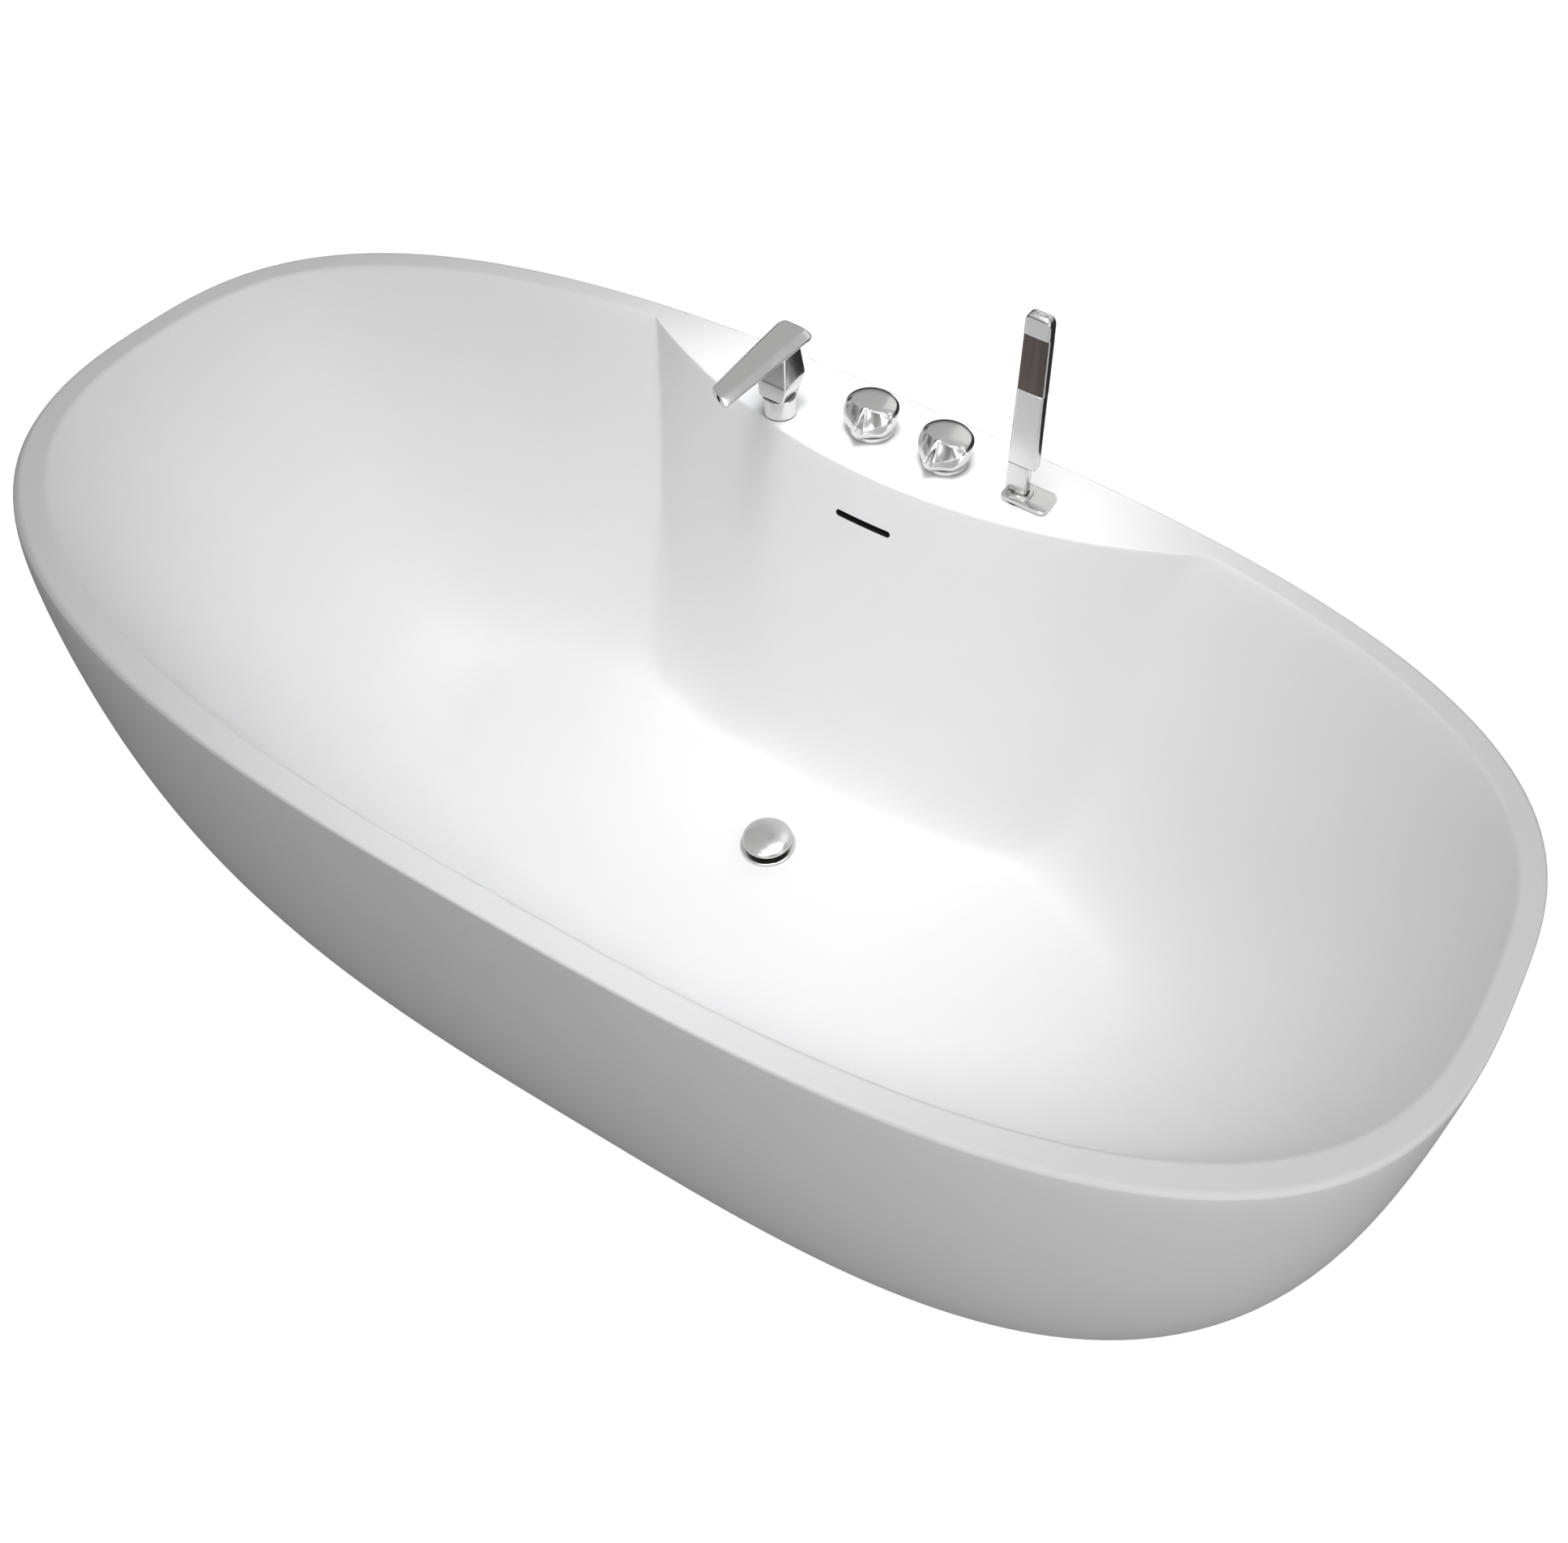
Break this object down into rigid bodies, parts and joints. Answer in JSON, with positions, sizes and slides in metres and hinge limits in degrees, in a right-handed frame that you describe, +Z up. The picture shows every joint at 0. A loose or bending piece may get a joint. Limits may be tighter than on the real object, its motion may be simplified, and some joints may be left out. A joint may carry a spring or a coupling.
{
  "type": "freestanding bathtub",
  "caption": "Oval freestanding bathtub with a double shell, a bulging tap deck, blade spout, turn knobs, pull-out hand shower, overflow slot and pop-up waste.",
  "frame": {"origin": "on the floor, under the middle of the tub's bounding box", "axes": "+X along the tub, towards the hand shower end; +Y towards the tap deck; +Z up"},
  "size_m": [1.7, 0.818, 0.826],
  "materials": {
    "satin_acrylic": "satin white acrylic, softly reflecting",
    "plywood": "raw birch plywood",
    "galvanised_steel": "grey primed steel tube",
    "zinc_steel": "zinc plated",
    "black_rubber": "black rubber",
    "chrome": "bright chrome plate on brass",
    "brass": "turned brass",
    "grey_plastic": "grey moulded plastic",
    "hose_plastic": "ribbed white plastic hose",
    "copper_pipe": "drawn copper tube",
    "dark_face": "dark bronze-grey satin spray face"
  },
  "bodies": {
    "tub": {"basin": "satin_acrylic", "skirt": "satin_acrylic", "floor_board": "plywood", "front_rail": "galvanised_steel", "rear_rail": "galvanised_steel", "cross_bars": "galvanised_steel", "foot_studs": "zinc_steel", "foot_locknuts": "zinc_steel", "foot_pads": "black_rubber", "deck_board": "plywood", "waste_flange": "chrome", "waste_gasket": "black_rubber", "waste_body": "brass", "waste_backnut": "brass", "waste_outlet": "grey_plastic", "click_cartridge": "brass", "overflow_housing": "grey_plastic", "overflow_gasket": "black_rubber", "overflow_hose": "hose_plastic", "hose_clamps": "zinc_steel", "spout_blade": "chrome", "spout_neck": "chrome", "spout_foot": "chrome", "spout_shank": "brass", "spout_union": "brass", "mixer_base_ring": "chrome", "mixer_cartridge": "grey_plastic", "mixer_body": "brass", "diverter_base_ring": "chrome", "diverter_cartridge": "grey_plastic", "diverter_body": "brass", "link_pipe": "copper_pipe", "spout_pipe": "copper_pipe", "shower_outlet_elbow": "brass", "shower_holder": "chrome", "guide_sleeve": "grey_plastic", "deck_gaskets": "black_rubber", "deck_nuts": "brass"},
    "cap": {"popup_cap": "chrome", "popup_stem": "brass", "cap_seal": "black_rubber"},
    "mixer_knob": {"mixer_handle": "chrome", "mixer_spindle": "brass", "mixer_grub_screw": "zinc_steel"},
    "diverter_knob": {"diverter_handle": "chrome", "diverter_spindle": "brass", "diverter_grub_screw": "zinc_steel"},
    "handshower": {"handshower_body": "chrome", "handshower_face": "dark_face", "handshower_tip": "chrome", "handshower_connector": "chrome"}
  },
  "joints": [
    {"name": "waste_cap_press", "type": "slide", "parent": "tub", "child": "cap", "axis": [0, 0, 1], "range_m": [-0.0085, 0]},
    {"name": "mixer_knob_turn", "type": "hinge", "parent": "tub", "child": "mixer_knob", "pos_m": [-0.05, 0.336, 0.6], "axis": [0, 0, 1], "range_deg": [-60, 60]},
    {"name": "diverter_knob_turn", "type": "hinge", "parent": "tub", "child": "diverter_knob", "pos_m": [0.05, 0.336, 0.6], "axis": [0, 0, 1], "range_deg": [0, 90]},
    {"name": "handshower_lift", "type": "slide", "parent": "tub", "child": "handshower", "axis": [0, 0, 1], "range_m": [0, 0.2]}
  ]
}
